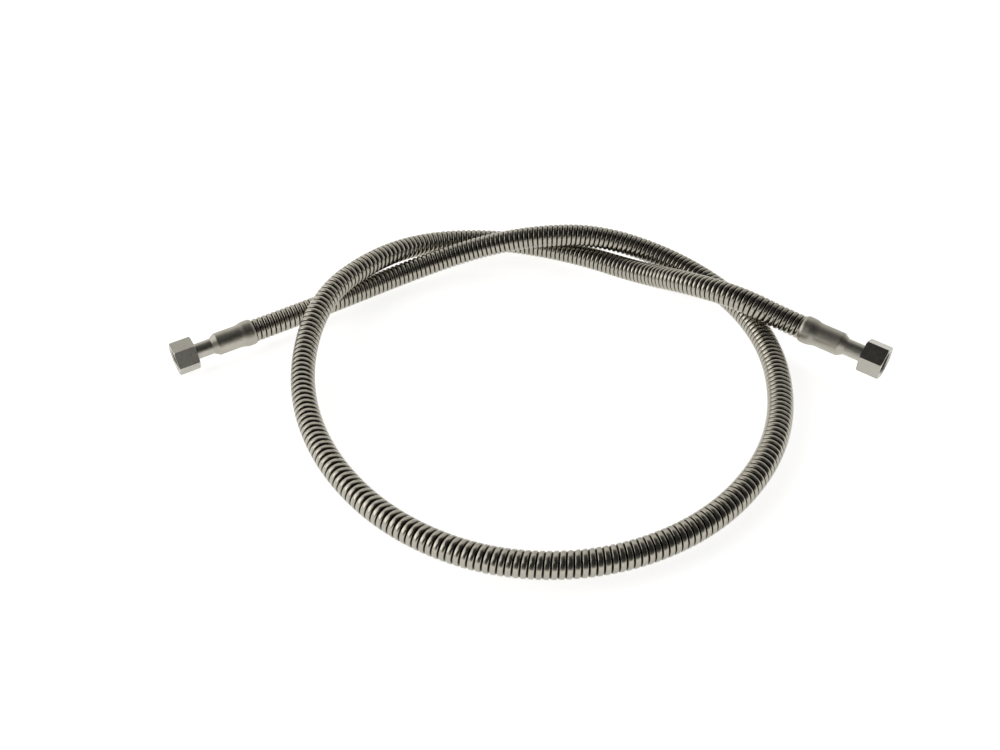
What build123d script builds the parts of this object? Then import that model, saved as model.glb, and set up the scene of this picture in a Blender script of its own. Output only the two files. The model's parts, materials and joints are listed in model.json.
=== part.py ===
"""Metal vacuum bellows hose with a union nut at each end, lying in one loose overhand knot.

A corrugated bellows carries the vacuum. Stripwound armour slides over it and is held at each
end by a swaged sleeve. A tube stub, the nipple, joins the bellows to a loose union nut.

Frame: +Z up, floor at Z = 0, X from the inlet towards the outlet. The origin is under the
middle of the two end fittings. Millimetres.
"""
import os
from math import radians, tan

from build123d import *

os.makedirs("parts", exist_ok=True)

# ---------------------------------------------------------------- hose sizes
armour_diameter = 17.5  # outside the stripwound ribs
armour_thickness = 1.45  # hooked strip, radially
bellows_clearance = 0.3  # between the corrugations and the armour
bellows_depth = 2.0  # from crest to root
armour_radius = armour_diameter / 2
bellows_radius = armour_radius - armour_thickness - bellows_clearance
bore_radius = bellows_radius - bellows_depth

# ---------------------------------------------------------------- nipple, seal and end ring
neck_wall = 1.0
seal_thickness = 1.5
collar_face = 10.1  # from the mouth, the face that the seal lies on
collar_height = 1.85  # above the neck
collar_seat_gap = 0.3  # between the nut's cone and the collar's
seal_inset = 0.15  # the seal is this much smaller than its collar
neck_length = 19.6  # neck between the collar's cone and the sleeve, plus what the nut covers
nipple_overlap = 8.6  # length of nipple held inside the sleeve
end_ring_length = 3.5
end_ring_gap = 0.1
neck_radius = bore_radius + neck_wall
collar_radius = neck_radius + collar_height

# ---------------------------------------------------------------- union nut, M18 x 1.5
nut_across_flats = 22.0
nut_length = 16.0
nut_corner_chamfer = 0.7
collar_bore_clearance = 0.34  # between the collar and the thread's minor diameter
thread_end = 7.6  # from the mouth, end of the threaded wall
mouth_chamfer = 0.9
relief_depth = 0.7  # thread relief, radially
relief_end = 11.2
neck_clearance = 0.08  # running fit of the nut on the nipple
thread_bore_radius = collar_radius + collar_bore_clearance  # the scene cuts the thread

# ---------------------------------------------------------------- swaged end sleeve
sleeve_clearance = 0.45  # between the bellows and the sleeve
sleeve_wall = 1.2
sleeve_lip_wall = 1.1  # wall over the armour
sleeve_cone_length = 4.3
sleeve_cone_fillet = 1.4
sleeve_plain_length = 15.6  # from the cone to the start of the swell
sleeve_swell_length = 8.3
sleeve_land_length = 2.6  # full diameter, before the rim rolls in
sleeve_rim_length = 2.7
armour_grip = 8.1  # length of armour inside the sleeve's mouth
armour_gap = 0.1  # between the armour and the sleeve, and inside the rim
sleeve_inner_radius = bellows_radius + sleeve_clearance
sleeve_radius = sleeve_inner_radius + sleeve_wall
grip_radius = armour_radius + armour_gap
sleeve_swell_radius = grip_radius + sleeve_lip_wall

inlet_nut_turn = 4.0  # degrees from flat side down
outlet_nut_turn = 26.0

# ---------------------------------------------------------------- route of the hose
# Centre line from the armour's inlet end to its outlet end. The first two and the last two
# points also set the axes of the end fittings.
route = [
    (-211.4, 15.8, 11.5),
    (-178.4, 38.4, 11.5),
    (-140.8, 70.4, 8.8),
    (-99, 101.9, 8.8),
    (-47.6, 123.9, 16.5),
    (3.3, 126.6, 27.5),
    (58.2, 128.1, 27.5),
    (118.2, 108.6, 15),
    (164.7, 60.8, 8.8),
    (186.2, -10, 8.8),
    (178.5, -91.4, 8.8),
    (136.6, -159.6, 8.8),
    (71.8, -198.6, 8.8),
    (-2.1, -202.9, 8.8),
    (-72.6, -170.5, 8.8),
    (-127.7, -109.5, 8.8),
    (-158.3, -34.1, 12),
    (-154.8, 39.9, 27.9),
    (-121, 94.7, 27.9),
    (-80.5, 138.7, 15),
    (-23.4, 149, 8.8),
    (37.7, 129.9, 8.8),
    (88.3, 101.1, 9),
    (126.2, 62.4, 26.5),
    (161.8, 36, 31.4),
    (193.9, 20.6, 22.4),
    (210.9, 10.2, 20.5),
]

# ---------------------------------------------------------------- places along a fitting
# Measured along the fitting's axis from the nut's mouth towards the hose.
nut_cone_end = relief_end + thread_bore_radius - neck_radius
collar_cone_start = nut_cone_end - collar_seat_gap * 2**0.5 - (collar_radius - neck_radius)
sleeve_start = collar_cone_start + neck_length - (collar_radius - neck_radius)
sleeve_cone_end = sleeve_start + sleeve_cone_length
swell_start = sleeve_cone_end + sleeve_plain_length
swell_end = swell_start + sleeve_swell_length
rim_start = swell_end + sleeve_land_length
sleeve_end = rim_start + sleeve_rim_length
armour_end = sleeve_end - armour_grip
nipple_end = sleeve_start + nipple_overlap
end_ring_start = nipple_end - end_ring_length
print("sleeve from", round(sleeve_start, 2), "to", round(sleeve_end, 2))


def fitting_plane(end_point, next_point):
    """Plane at a nut's mouth: z runs along the fitting to the hose, y is the upper side."""
    axis = (Vector(*next_point) - Vector(*end_point)).normalized()
    mouth = Vector(*end_point) - axis * armour_end
    side = Vector(0, 0, 1).cross(axis).normalized()
    return Plane(origin=mouth, x_dir=side, z_dir=axis)


def section_plane(fitting):
    """Plane through the fitting's axis: x is the radius and y the place along the axis."""
    return Plane(origin=fitting.origin, x_dir=fitting.x_dir, z_dir=-fitting.y_dir)


def corner_radii(points):
    """As large an arc at each corner of a route as its two runs allow."""
    radii = []
    for before, corner, after in zip(points, points[1:], points[2:]):
        run_in = Vector(*corner) - Vector(*before)
        run_out = Vector(*after) - Vector(*corner)
        turn = run_in.get_angle(run_out)
        radii.append(0.45 * min(run_in.length, run_out.length) / tan(radians(turn / 2)))
    return radii


route_radii = corner_radii(route)


def hose_tube(inset, outer_radius, inner_radius):
    """Plain tube on the route, its ends moved outwards along the fittings by the inset."""
    start = inlet.origin + inlet.z_dir * (armour_end - inset)
    end = outlet.origin + outlet.z_dir * (armour_end - inset)
    points = [start] + [Vector(*point) for point in route[1:-1]] + [end]
    with BuildPart() as tube:
        with BuildLine():
            path = FilletPolyline(*points, radius=route_radii)
        with BuildSketch(Plane(origin=path @ 0, z_dir=path % 0)) as section:
            Circle(outer_radius)
            Circle(inner_radius, mode=Mode.SUBTRACT)
        sweep(path=path)
    print("tube length", round(path.length, 1), "volume", round(tube.part.volume))
    print("section times length", round(section.sketch.area * path.length))
    return tube.part


def make_nut(fitting, turn):
    """Union nut: hexagon, thread bore with relief, and a cone that bears on the collar."""
    relief_radius = thread_bore_radius + relief_depth
    running_radius = neck_radius + neck_clearance
    corner_radius = nut_across_flats / 3**0.5
    with BuildPart() as nut:
        with BuildSketch(fitting):
            RegularPolygon(nut_across_flats / 2, 6, major_radius=False, rotation=turn)
        extrude(amount=nut_length)
        with BuildSketch(section_plane(fitting)):
            with BuildLine():
                Polyline(
                    (0, 0),
                    (corner_radius - nut_corner_chamfer, 0),
                    (corner_radius, nut_corner_chamfer),
                    (corner_radius, nut_length - nut_corner_chamfer),
                    (corner_radius - nut_corner_chamfer, nut_length),
                    (0, nut_length),
                    close=True,
                )
            make_face()
        revolve(axis=Axis(fitting.origin, fitting.z_dir), mode=Mode.INTERSECT)
        with BuildSketch(section_plane(fitting)):
            with BuildLine():
                Polyline(
                    (0, 0),
                    (thread_bore_radius + mouth_chamfer, 0),
                    (thread_bore_radius, mouth_chamfer),
                    (thread_bore_radius, thread_end),
                    (relief_radius, thread_end),
                    (relief_radius, relief_end),
                    (thread_bore_radius + neck_clearance, relief_end),
                    (running_radius, nut_cone_end),
                    (running_radius, nut_length),
                    (0, nut_length),
                    close=True,
                )
            make_face()
        revolve(axis=Axis(fitting.origin, fitting.z_dir), mode=Mode.SUBTRACT)
    return nut.part


def make_nipple(fitting):
    """Tube stub with a collar that the nut pulls on."""
    with BuildPart() as nipple:
        with BuildSketch(section_plane(fitting)):
            with BuildLine():
                Polyline(
                    (bore_radius, collar_face),
                    (collar_radius, collar_face),
                    (collar_radius, collar_cone_start),
                    (neck_radius, collar_cone_start + collar_radius - neck_radius),
                    (neck_radius, nipple_end),
                    (bore_radius, nipple_end),
                    close=True,
                )
            make_face()
        revolve(axis=Axis(fitting.origin, fitting.z_dir))
    return nipple.part


def make_seal(fitting):
    """Flat sealing ring on the nipple's face."""
    with BuildPart() as seal:
        with BuildSketch(fitting.offset(collar_face - seal_thickness)):
            Circle(collar_radius - seal_inset)
            Circle(bore_radius, mode=Mode.SUBTRACT)
        extrude(amount=seal_thickness)
    return seal.part


def make_end_ring(fitting):
    """Ring on the nipple's end that backs the weld to the bellows."""
    with BuildPart() as ring:
        with BuildSketch(fitting.offset(end_ring_start)):
            Circle(sleeve_inner_radius - end_ring_gap)
            Circle(neck_radius, mode=Mode.SUBTRACT)
        extrude(amount=end_ring_length)
    return ring.part


def make_sleeve(fitting):
    """Sleeve: cone on the neck, plain barrel, swell over the armour and a rolled rim."""
    swell_middle = ((sleeve_radius + sleeve_swell_radius) / 2, (swell_start + swell_end) / 2)
    with BuildPart() as sleeve:
        with BuildSketch(section_plane(fitting)):
            with BuildLine():
                FilletPolyline(
                    (neck_radius, sleeve_start),
                    (sleeve_radius, sleeve_cone_end),
                    (sleeve_radius, swell_start),
                    radius=sleeve_cone_fillet,
                )
                rise = TangentArc((sleeve_radius, swell_start), swell_middle, tangent=(0, 1))
                TangentArc(swell_middle, (sleeve_swell_radius, swell_end), tangent=rise % 1)
                Line((sleeve_swell_radius, swell_end), (sleeve_swell_radius, rim_start))
                TangentArc(
                    (sleeve_swell_radius, rim_start),
                    (grip_radius + armour_gap, sleeve_end),
                    tangent=(0, 1),
                )
                Polyline(
                    (grip_radius + armour_gap, sleeve_end),
                    (grip_radius, sleeve_end),
                    (grip_radius, armour_end),
                    (sleeve_inner_radius, armour_end),
                    (sleeve_inner_radius, end_ring_start),
                    (neck_radius, end_ring_start),
                    (neck_radius, sleeve_start),
                )
            make_face()
        revolve(axis=Axis(fitting.origin, fitting.z_dir))
    return sleeve.part


def save(part, label):
    """Name a finished piece and write it to its own file."""
    part.label = label
    export_step(part, f"parts/{label}.step")


inlet = fitting_plane(route[0], route[1])
outlet = fitting_plane(route[-1], route[-2])
print("corner radii", [round(radius) for radius in route_radii])

for end_name, fitting, turn in (
    ("inlet", inlet, inlet_nut_turn),
    ("outlet", outlet, outlet_nut_turn),
):
    print(end_name, "mouth", fitting.origin, "axis", fitting.z_dir)
    save(make_nut(fitting, turn), f"{end_name}_union_nut")
    save(make_seal(fitting), f"{end_name}_seal")
    save(make_nipple(fitting), f"{end_name}_nipple")
    save(make_end_ring(fitting), f"{end_name}_end_ring")
    save(make_sleeve(fitting), f"{end_name}_sleeve")

armour = hose_tube(0, armour_radius, armour_radius - armour_thickness)
save(armour, "armour_hose")
bellows = hose_tube(armour_end - nipple_end, bellows_radius, bore_radius)
save(bellows, "bellows_hose")
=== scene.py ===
"""Dresses the vacuum bellows hose: wound armour, satin steel fittings, thread, light and camera.

Metres, in the row's frame: +Z up, floor at Z = 0, +X from the inlet to the outlet.
"""
import json
from math import cos, pi, radians, sin

import bpy
import numpy as np
from mathutils import Matrix, Vector


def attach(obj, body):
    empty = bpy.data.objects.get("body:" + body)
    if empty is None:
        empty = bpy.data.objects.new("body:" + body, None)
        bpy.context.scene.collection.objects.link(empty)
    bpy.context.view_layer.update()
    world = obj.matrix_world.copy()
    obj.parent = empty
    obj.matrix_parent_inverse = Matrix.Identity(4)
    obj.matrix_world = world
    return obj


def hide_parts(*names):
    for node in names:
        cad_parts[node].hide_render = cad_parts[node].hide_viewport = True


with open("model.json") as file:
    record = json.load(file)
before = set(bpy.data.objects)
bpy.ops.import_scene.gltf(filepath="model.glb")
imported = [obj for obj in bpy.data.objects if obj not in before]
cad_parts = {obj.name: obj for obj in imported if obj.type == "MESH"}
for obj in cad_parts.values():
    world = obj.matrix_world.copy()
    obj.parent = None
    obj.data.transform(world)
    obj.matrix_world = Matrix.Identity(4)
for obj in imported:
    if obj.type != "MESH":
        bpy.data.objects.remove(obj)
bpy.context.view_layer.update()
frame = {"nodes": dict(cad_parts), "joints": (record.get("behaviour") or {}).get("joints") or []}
nodes = frame["nodes"]
MM = 0.001

# ---------------------------------------------------------------- sizes
ARMOUR_RADIUS = 8.75 * MM
GROOVE_DEPTH = 0.85 * MM
RIB_SEGMENTS = 32
# The strip is closed up where the hose runs straight and drawn out where it bends: distance
# along the hose and pitch, in millimetres.
RIB_PITCHES = (
    (0, 3.88), (380, 3.9), (480, 4.45), (700, 4.3), (800, 4.4), (870, 4.7), (950, 5.15),
    (1030, 4.9), (1080, 4.3), (1210, 4.4), (1330, 3.95), (1600, 3.92),
)
# One pitch of the wound strip: place along the pitch, and depth below the crown in groove
# depths. The flat crown steps down to the strip's folded edge before the next groove.
RIB_PROFILE = (
    (0.00, 1.00), (0.17, 1.00), (0.22, 0.14), (0.29, 0.00),
    (0.72, 0.00), (0.77, 0.20), (0.81, 0.18), (0.89, 0.50),
)
THREAD_PITCH = 1.5 * MM
THREAD_MAJOR = 9.0 * MM
THREAD_MINOR = 8.19 * MM
THREAD_START = 1.0 * MM
THREAD_END = 7.5 * MM
THREAD_SEGMENTS = 72
# Steps over which the ridge rises at each end.
THREAD_FADE = 12

# Centre line of the hose, from the armour's inlet end to its outlet end, in millimetres.
ROUTE = [
    (-211.4, 15.8, 11.5),
    (-178.4, 38.4, 11.5),
    (-140.8, 70.4, 8.8),
    (-99, 101.9, 8.8),
    (-47.6, 123.9, 16.5),
    (3.3, 126.6, 27.5),
    (58.2, 128.1, 27.5),
    (118.2, 108.6, 15),
    (164.7, 60.8, 8.8),
    (186.2, -10, 8.8),
    (178.5, -91.4, 8.8),
    (136.6, -159.6, 8.8),
    (71.8, -198.6, 8.8),
    (-2.1, -202.9, 8.8),
    (-72.6, -170.5, 8.8),
    (-127.7, -109.5, 8.8),
    (-158.3, -34.1, 12),
    (-154.8, 39.9, 27.9),
    (-121, 94.7, 27.9),
    (-80.5, 138.7, 15),
    (-23.4, 149, 8.8),
    (37.7, 129.9, 8.8),
    (88.3, 101.1, 9),
    (126.2, 62.4, 26.5),
    (161.8, 36, 31.4),
    (193.9, 20.6, 22.4),
    (210.9, 10.2, 20.5),
]


# ---------------------------------------------------------------- camera
# Degrees turned to the left, looking down and rolled.
CAMERA_TURN, CAMERA_DOWN, CAMERA_ROLL = 7.07, 40.0, -4.08
CAMERA_PLACE = (0.0632, -0.6337, 0.5225)
CAMERA_LENS = 40.12


def make_camera():
    camera = bpy.data.objects.new("camera", bpy.data.cameras.new("camera"))
    bpy.context.scene.collection.objects.link(camera)
    turn = Matrix.Rotation(radians(CAMERA_TURN), 4, "Z")
    tip = Matrix.Rotation(radians(90 - CAMERA_DOWN), 4, "X")
    roll = Matrix.Rotation(radians(CAMERA_ROLL), 4, "Z")
    camera.matrix_world = Matrix.Translation(CAMERA_PLACE) @ turn @ tip @ roll
    camera.data.sensor_width = 36
    camera.data.lens = CAMERA_LENS
    camera.data.clip_start = 0.01
    bpy.context.scene.camera = camera


# ---------------------------------------------------------------- hose
def hose_line():
    """Points along the smooth centre line, read from its NURBS spline."""
    data = bpy.data.curves.new("hose_route", "CURVE")
    data.dimensions = "3D"
    data.resolution_u = 24
    spline = data.splines.new("NURBS")
    spline.points.add(len(ROUTE) - 1)
    for point, place in zip(spline.points, ROUTE):
        point.co = (*(MM * value for value in place), 1)
    spline.order_u = 3
    spline.use_endpoint_u = True
    route = bpy.data.objects.new("hose_route", data)
    mesh = bpy.data.meshes.new_from_object(route)
    points = np.array([vertex.co[:] for vertex in mesh.vertices])
    bpy.data.meshes.remove(mesh)
    bpy.data.objects.remove(route)
    bpy.data.curves.remove(data)
    return points


class Line:
    """A centre line with a frame that doesn't twist, sampled by the distance along it."""

    def __init__(self, points):
        self.points = points
        steps = np.linalg.norm(np.diff(points, axis=0), axis=1)
        self.distance = np.concatenate([[0], np.cumsum(steps)])
        self.length = self.distance[-1]
        tangents = np.gradient(points, self.distance, axis=0)
        self.tangents = tangents / np.linalg.norm(tangents, axis=1)[:, None]
        side = np.cross(self.tangents[0], (0, 0, 1))
        sides = [side / np.linalg.norm(side)]
        for tangent in self.tangents[1:]:
            side = sides[-1] - tangent * np.dot(sides[-1], tangent)
            sides.append(side / np.linalg.norm(side))
        self.sides = np.array(sides)

    def sample(self, values, distance):
        return np.stack([np.interp(distance, self.distance, values[:, k]) for k in range(3)], -1)

    def ring_point(self, distance, angle, radius):
        """Places on a tube round the line; all three arguments are arrays of one shape."""
        centre = self.sample(self.points, distance)
        tangent = self.sample(self.tangents, distance)
        side = self.sample(self.sides, distance)
        upper = np.cross(side, tangent)
        spoke = np.cos(angle)[..., None] * side + np.sin(angle)[..., None] * upper
        return centre + radius[..., None] * spoke


def add_mesh(name, vertices, faces, uvs=None):
    mesh = bpy.data.meshes.new(name)
    mesh.from_pydata([tuple(v) for v in vertices], [], faces)
    if uvs is not None:
        layer = mesh.uv_layers.new(name="strip")
        layer.data.foreach_set("uv", np.asarray(uvs, dtype=float).ravel())
    mesh.shade_smooth()
    piece = bpy.data.objects.new(name, mesh)
    bpy.context.scene.collection.objects.link(piece)
    return piece


def make_armour(line):
    """The strip wound into one long helix: each row of the mesh is a line along the strip."""
    pitches = MM * np.array(RIB_PITCHES)
    along = np.linspace(0, line.length, 4000)
    steps = 1 / np.interp(along, pitches[:, 0], pitches[:, 1])
    count = np.concatenate([[0], np.cumsum((steps[1:] + steps[:-1]) / 2 * np.diff(along))])
    profile = np.array(RIB_PROFILE)
    rows_per_turn = len(profile)
    turns = int(count[-1]) - 1
    rows = turns * rows_per_turn + 1
    row = np.arange(rows)
    place = profile[row % rows_per_turn, 0] + row // rows_per_turn
    depth = profile[row % rows_per_turn, 1] * GROOVE_DEPTH
    part_turn = np.arange(RIB_SEGMENTS) / RIB_SEGMENTS
    turn = place[:, None] + part_turn[None, :]
    distance = np.interp(turn * count[-1] / turn.max(), count, along)
    angle = np.broadcast_to(2 * pi * part_turn, distance.shape)
    radius = np.broadcast_to((ARMOUR_RADIUS - depth)[:, None], distance.shape)
    vertices = line.ring_point(distance, angle, radius).reshape(-1, 3)
    faces = []
    uvs = []
    for i in range(rows - 1):
        for j in range(RIB_SEGMENTS):
            last = j == RIB_SEGMENTS - 1
            jump = rows_per_turn if last else 0
            if i + 1 + jump >= rows:
                continue
            k = 0 if last else j + 1
            corners = ((i, j), (i + jump, k), (i + 1 + jump, k), (i + 1, j))
            faces.append([a * RIB_SEGMENTS + b for a, b in corners])
            start = i // rows_per_turn + j / RIB_SEGMENTS
            across = (place[i] % 1, place[i + 1] % 1 if place[i + 1] % 1 else 1)
            step = 1 / RIB_SEGMENTS
            uvs += [(start, across[0]), (start + step, across[0])]
            uvs += [(start + step, across[1]), (start, across[1])]
    armour = add_mesh("wound_armour", vertices, faces, uvs)
    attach(armour, "hose")
    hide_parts("armour_hose")
    return armour


# ---------------------------------------------------------------- nut threads
def make_thread(name, body, joint_name):
    """Internal thread: a helical ridge that stands inwards from the nut's bore."""
    joint = next(j for j in frame["joints"] if j["name"] == joint_name)
    mouth = Vector(joint["pos_m"])
    axis = Vector(joint["axis"]).normalized()
    side = Vector((0, 0, 1)).cross(axis).normalized()
    upper = axis.cross(side)
    turns = (THREAD_END - THREAD_START) / THREAD_PITCH - 1
    count = int(turns * THREAD_SEGMENTS)
    ridge = (
        (0.06, THREAD_MAJOR), (0.44, THREAD_MINOR), (0.56, THREAD_MINOR), (0.94, THREAD_MAJOR),
    )
    vertices = []
    for step in range(count + 1):
        angle = 2 * pi * step / THREAD_SEGMENTS
        spoke = side * cos(angle) + upper * sin(angle)
        fade = min(1, step / THREAD_FADE, (count - step) / THREAD_FADE)
        for place, radius in ridge:
            along = THREAD_START + (step / THREAD_SEGMENTS + place) * THREAD_PITCH
            reach = THREAD_MAJOR + (radius - THREAD_MAJOR) * fade
            vertices.append(mouth + axis * along + spoke * reach)
    width = len(ridge)
    faces = [
        (a + k, a + k + 1, a + k + 1 + width, a + k + width)
        for a in range(0, count * width, width)
        for k in range(width - 1)
    ]
    thread = add_mesh(name, vertices, faces)
    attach(thread, body)
    return thread


# ---------------------------------------------------------------- materials
class Nodes:
    """A new material's node tree, with short calls to add and link nodes."""

    def __init__(self, name):
        self.material = bpy.data.materials.new(name)
        self.material.use_nodes = True
        self.tree = self.material.node_tree
        self.shader = self.tree.nodes["Principled BSDF"]

    def add(self, kind, **values):
        node = self.tree.nodes.new(kind)
        for key, value in values.items():
            if key in node.inputs:
                node.inputs[key].default_value = value
            else:
                setattr(node, key, value)
        return node

    def link(self, source, target):
        self.tree.links.new(source, target)

    def noise(self, coordinates, scale, detail=3.0, stretch=(1, 1, 1)):
        mapping = self.add("ShaderNodeMapping")
        mapping.inputs["Scale"].default_value = stretch
        self.link(coordinates, mapping.inputs["Vector"])
        noise = self.add("ShaderNodeTexNoise", Scale=scale, Detail=detail)
        self.link(mapping.outputs["Vector"], noise.inputs["Vector"])
        return noise.outputs["Fac"]

    def spread(self, value, low, high):
        """Turns a noise value into the range from low to high."""
        reach = self.add("ShaderNodeMapRange")
        reach.inputs["From Min"].default_value = 0.3
        reach.inputs["From Max"].default_value = 0.7
        reach.inputs["To Min"].default_value = low
        reach.inputs["To Max"].default_value = high
        self.link(value, reach.inputs["Value"])
        return reach.outputs["Result"]

    def bump(self, height, strength, distance, normal=None):
        node = self.add("ShaderNodeBump", Strength=strength, Distance=distance)
        self.link(height, node.inputs["Height"])
        if normal is not None:
            self.link(normal, node.inputs["Normal"])
        return node.outputs["Normal"]

    def mix(self, factor, first, second):
        node = self.add("ShaderNodeMix", data_type="RGBA")
        self.link(factor, node.inputs["Factor"])
        node.inputs[6].default_value = (*first, 1)
        node.inputs[7].default_value = (*second, 1)
        return node.outputs[2]


def satin_steel(name, light, dark, low, high, grain=(1, 1, 1)):
    """Machined or drawn steel: slightly patchy colour and roughness, and a fine grain."""
    n = Nodes(name)
    place = n.add("ShaderNodeTexCoord").outputs["Object"]
    patches = n.noise(place, 90, 4)
    n.link(n.mix(n.spread(patches, 0, 1), light, dark), n.shader.inputs["Base Color"])
    n.link(n.spread(n.noise(place, 420, 3), low, high), n.shader.inputs["Roughness"])
    n.shader.inputs["Metallic"].default_value = 1
    fine = n.noise(place, 2600, 2, grain)
    n.link(n.bump(fine, 0.12, 0.00008), n.shader.inputs["Normal"])
    return n.material


def armour_steel():
    """Rolled strip: bright crowns with streaks along the strip, and painted shade that darkens
    the grooves almost to black.
    """
    n = Nodes("armour_steel")
    uv = n.add("ShaderNodeTexCoord").outputs["UV"]
    streaks = n.noise(uv, 1, 3, (2.4, 14, 1))
    crown = n.mix(n.spread(streaks, 0, 1), (0.47, 0.445, 0.38), (0.40, 0.378, 0.32))
    split = n.add("ShaderNodeSeparateXYZ")
    n.link(uv, split.inputs["Vector"])
    # Painted shade: this ramp drops the base colour almost to black across the groove of each
    # pitch, where the recess lies in shade.
    groove_shade = n.add("ShaderNodeValToRGB")
    ramp = groove_shade.color_ramp
    ramp.elements[0].position = 0.0
    ramp.elements[0].color = (0.02, 0.02, 0.02, 1)
    ramp.elements[1].position = 1.0
    ramp.elements[1].color = (0.02, 0.02, 0.02, 1)
    for position, shade in ((0.17, 0.02), (0.21, 1), (0.88, 1), (0.92, 0.02)):
        element = ramp.elements.new(position)
        element.color = (shade, shade, shade, 1)
    n.link(split.outputs["Y"], groove_shade.inputs["Fac"])
    colour = n.add("ShaderNodeMix", data_type="RGBA", blend_type="MULTIPLY")
    colour.inputs[0].default_value = 1
    n.link(crown, colour.inputs[6])
    n.link(groove_shade.outputs["Color"], colour.inputs[7])
    n.link(colour.outputs[2], n.shader.inputs["Base Color"])
    n.shader.inputs["Metallic"].default_value = 1
    n.link(n.spread(streaks, 0.16, 0.26), n.shader.inputs["Roughness"])
    n.link(n.bump(streaks, 0.10, 0.00006), n.shader.inputs["Normal"])
    return n.material


def bellows_steel():
    """Bright corrugations, seen only from inside the nipples."""
    n = Nodes("bellows_steel")
    place = n.add("ShaderNodeTexCoord").outputs["Object"]
    wave = n.add("ShaderNodeTexWave", Scale=90, Distortion=0.4)
    n.link(place, wave.inputs["Vector"])
    n.link(n.spread(wave.outputs["Fac"], 0.2, 0.34), n.shader.inputs["Roughness"])
    n.link(n.bump(wave.outputs["Fac"], 0.6, 0.0008), n.shader.inputs["Normal"])
    n.shader.inputs["Metallic"].default_value = 1
    n.shader.inputs["Base Color"].default_value = (0.6, 0.58, 0.54, 1)
    return n.material


def seal_plastic():
    """White sealing ring with a faint mottle."""
    n = Nodes("seal_ptfe")
    place = n.add("ShaderNodeTexCoord").outputs["Object"]
    mottle = n.noise(place, 700, 3)
    colour = n.mix(n.spread(mottle, 0, 1), (0.86, 0.86, 0.84), (0.76, 0.76, 0.73))
    n.link(colour, n.shader.inputs["Base Color"])
    n.link(n.spread(mottle, 0.45, 0.6), n.shader.inputs["Roughness"])
    n.link(n.bump(mottle, 0.2, 0.0001), n.shader.inputs["Normal"])
    return n.material


def dress(piece, material):
    piece.data.materials.clear()
    piece.data.materials.append(material)


# ---------------------------------------------------------------- light and floor
# Brightness of the studio by the angle from straight up: negative angles lean to the back.
STUDIO = (
    (-180, 0.80), (-90, 0.85), (-50, 0.98), (-38, 0.72), (-27, 0.16), (-12, 0.05),
    (52, 0.04), (66, 0.12), (100, 0.14), (180, 0.80),
)
HORIZON = 0.92
STUDIO_TINT = (1.0, 0.985, 0.95)
# The back wall's share of its brightness at the left and at the right.
WALL_LEFT, WALL_RIGHT = 1.12, 0.62
LEFT_PANEL = 1.15
RIGHT_FILL = 0.34
FLOOR_LIFT = 0.80
FLOOR_REACH = 12.0
FLOOR_DROP = 0.0004
KEY_PLACE = (-1.25, -0.1, 0.8)
KEY_SIZE = (1.3, 1.3)
KEY_POWER = 5.0


def make_world():
    """A studio with a bright back wall, a panel on the left and a pale band all round."""
    world = bpy.data.worlds.new("studio")
    world.use_nodes = True
    bpy.context.scene.world = world
    tree = world.node_tree
    tree.nodes.clear()

    def add(kind, *links, **values):
        node = tree.nodes.new(kind)
        for key, value in values.items():
            setattr(node, key, value)
        for source, socket in links:
            if isinstance(source, (int, float)):
                node.inputs[socket].default_value = source
            else:
                tree.links.new(source, node.inputs[socket])
        return node

    def remap(value, start, end, low, high):
        """The value's range from start to end turned into the range from low to high."""
        node = add(
            "ShaderNodeMapRange", (value, "Value"), (start, "From Min"), (end, "From Max"),
            (low, "To Min"), (high, "To Max"),
        )
        return node.outputs["Result"]

    def blend(kind, first, second):
        node = add(
            "ShaderNodeMix", (1.0, 0), (first, 6), (second, 7), data_type="RGBA", blend_type=kind
        )
        return node.outputs[2]

    def tinted(shade):
        return (*(shade * tint for tint in STUDIO_TINT), 1)

    direction = add("ShaderNodeTexCoord").outputs["Generated"]
    split = add("ShaderNodeSeparateXYZ", (direction, "Vector"))
    right, back, up = (split.outputs[axis] for axis in "XYZ")
    front = add("ShaderNodeMath", (back, 0), (-1.0, 1), operation="MULTIPLY")
    angle = add("ShaderNodeMath", (front.outputs[0], 0), (up, 1), operation="ARCTAN2")
    ramp = add("ShaderNodeValToRGB", (remap(angle.outputs[0], -pi, pi, 0.0, 1.0), "Fac"))
    stops = ramp.color_ramp.elements
    for stop, (degrees, shade) in zip((stops[0], stops[1]), (STUDIO[0], STUDIO[-1])):
        stop.position = (degrees + 180) / 360
        stop.color = tinted(shade)
    for degrees, shade in STUDIO[1:-1]:
        stop = stops.new((degrees + 180) / 360)
        stop.color = tinted(shade)
    fall = remap(right, -0.8, 0.9, WALL_LEFT, WALL_RIGHT)
    wall = blend("MULTIPLY", ramp.outputs["Color"], fall)
    both = blend("LIGHTEN", wall, remap(right, -0.70, -0.90, 0.0, LEFT_PANEL))
    # The fill stands on the right, behind the object only.
    fill = add(
        "ShaderNodeMath", (remap(right, 0.05, 0.50, 0.0, RIGHT_FILL), 0),
        (remap(back, -0.05, 0.20, 0.0, 1.0), 1), operation="MULTIPLY",
    )
    filled = blend("LIGHTEN", both, fill.outputs["Value"])
    low = remap(up, 0.22, 0.08, 0.0, 1.0)
    band = add("ShaderNodeMix", (low, 0), (filled, 6), data_type="RGBA", blend_type="MIX")
    band.inputs[7].default_value = tinted(HORIZON)
    studio = add("ShaderNodeBackground", (band.outputs[2], "Color"), (1.0, "Strength"))
    add("ShaderNodeOutputWorld", (studio.outputs[0], "Surface"))


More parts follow.
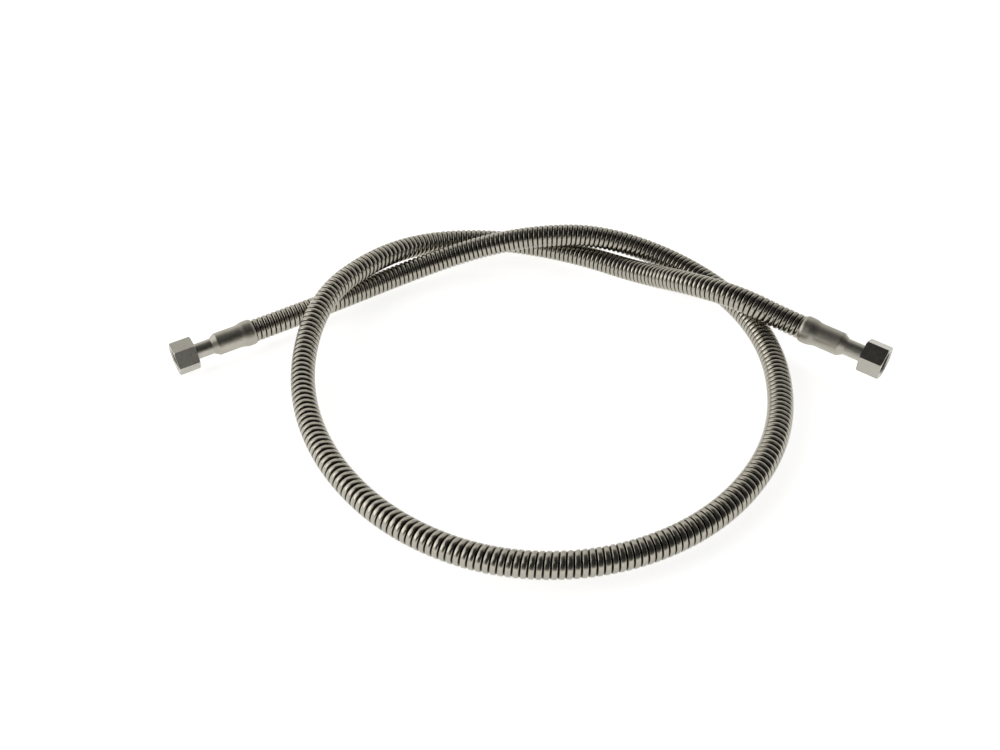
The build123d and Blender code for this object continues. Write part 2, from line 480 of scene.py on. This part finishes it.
def make_floor():
    """White sheet that shows the soft shadow, to the camera and in reflections alike."""
    reach = FLOOR_REACH
    corners = [(-reach, -reach, 0), (reach, -reach, 0), (reach, reach, 0), (-reach, reach, 0)]
    floor = add_mesh("floor", corners, [(0, 1, 2, 3)])
    floor.location.z = -FLOOR_DROP
    n = Nodes("paper")
    n.shader.inputs["Base Color"].default_value = (0.92, 0.92, 0.92, 1)
    n.shader.inputs["Roughness"].default_value = 0.9
    n.shader.inputs["Specular IOR Level"].default_value = 0
    n.shader.inputs["Emission Color"].default_value = (1, 1, 1, 1)
    path = n.add("ShaderNodeLightPath")
    seen = path.outputs["Is Camera Ray"]
    for ray in ("Is Glossy Ray", "Is Transmission Ray"):
        either = n.add("ShaderNodeMath", operation="MAXIMUM")
        n.link(seen, either.inputs[0])
        n.link(path.outputs[ray], either.inputs[1])
        seen = either.outputs["Value"]
    lift = n.add("ShaderNodeMath", operation="MULTIPLY")
    lift.inputs[1].default_value = FLOOR_LIFT
    n.link(seen, lift.inputs[0])
    n.link(lift.outputs["Value"], n.shader.inputs["Emission Strength"])
    dress(floor, n.material)


def add_light(name, place, target, size, power, colour):
    """Add a rectangular area light that faces the target."""
    data = bpy.data.lights.new(name, "AREA")
    data.shape = "RECTANGLE"
    data.size, data.size_y = size
    data.energy = power
    data.color = colour
    light = bpy.data.objects.new(name, data)
    light.location = place
    light.rotation_euler = (Vector(target) - Vector(place)).to_track_quat("-Z", "Y").to_euler()
    bpy.context.scene.collection.objects.link(light)


make_camera()
line = Line(hose_line())
armour = make_armour(line)
dress(armour, armour_steel())
nut_steel = satin_steel("nut_steel", (0.47, 0.455, 0.41), (0.43, 0.415, 0.37), 0.26, 0.34)
tube_steel = satin_steel("tube_steel", (0.52, 0.50, 0.445), (0.46, 0.44, 0.39), 0.34, 0.44)
sleeve_steel = satin_steel("sleeve_steel", (0.51, 0.49, 0.43), (0.45, 0.43, 0.375), 0.38, 0.48)
seal_ptfe = seal_plastic()
for end in ("inlet", "outlet"):
    thread = make_thread(f"{end}_thread_ridge", f"{end}_nut", f"{end}_nut_turn")
    dress(thread, nut_steel)
    dress(nodes[f"{end}_union_nut"], nut_steel)
    dress(nodes[f"{end}_nipple"], tube_steel)
    dress(nodes[f"{end}_end_ring"], tube_steel)
    dress(nodes[f"{end}_sleeve"], sleeve_steel)
    dress(nodes[f"{end}_seal"], seal_ptfe)
dress(nodes["bellows_hose"], bellows_steel())

make_world()
make_floor()
add_light("key_upper_left", KEY_PLACE, (0, 0, 0), KEY_SIZE, KEY_POWER, STUDIO_TINT)
bpy.context.scene.view_settings.view_transform = "Standard"
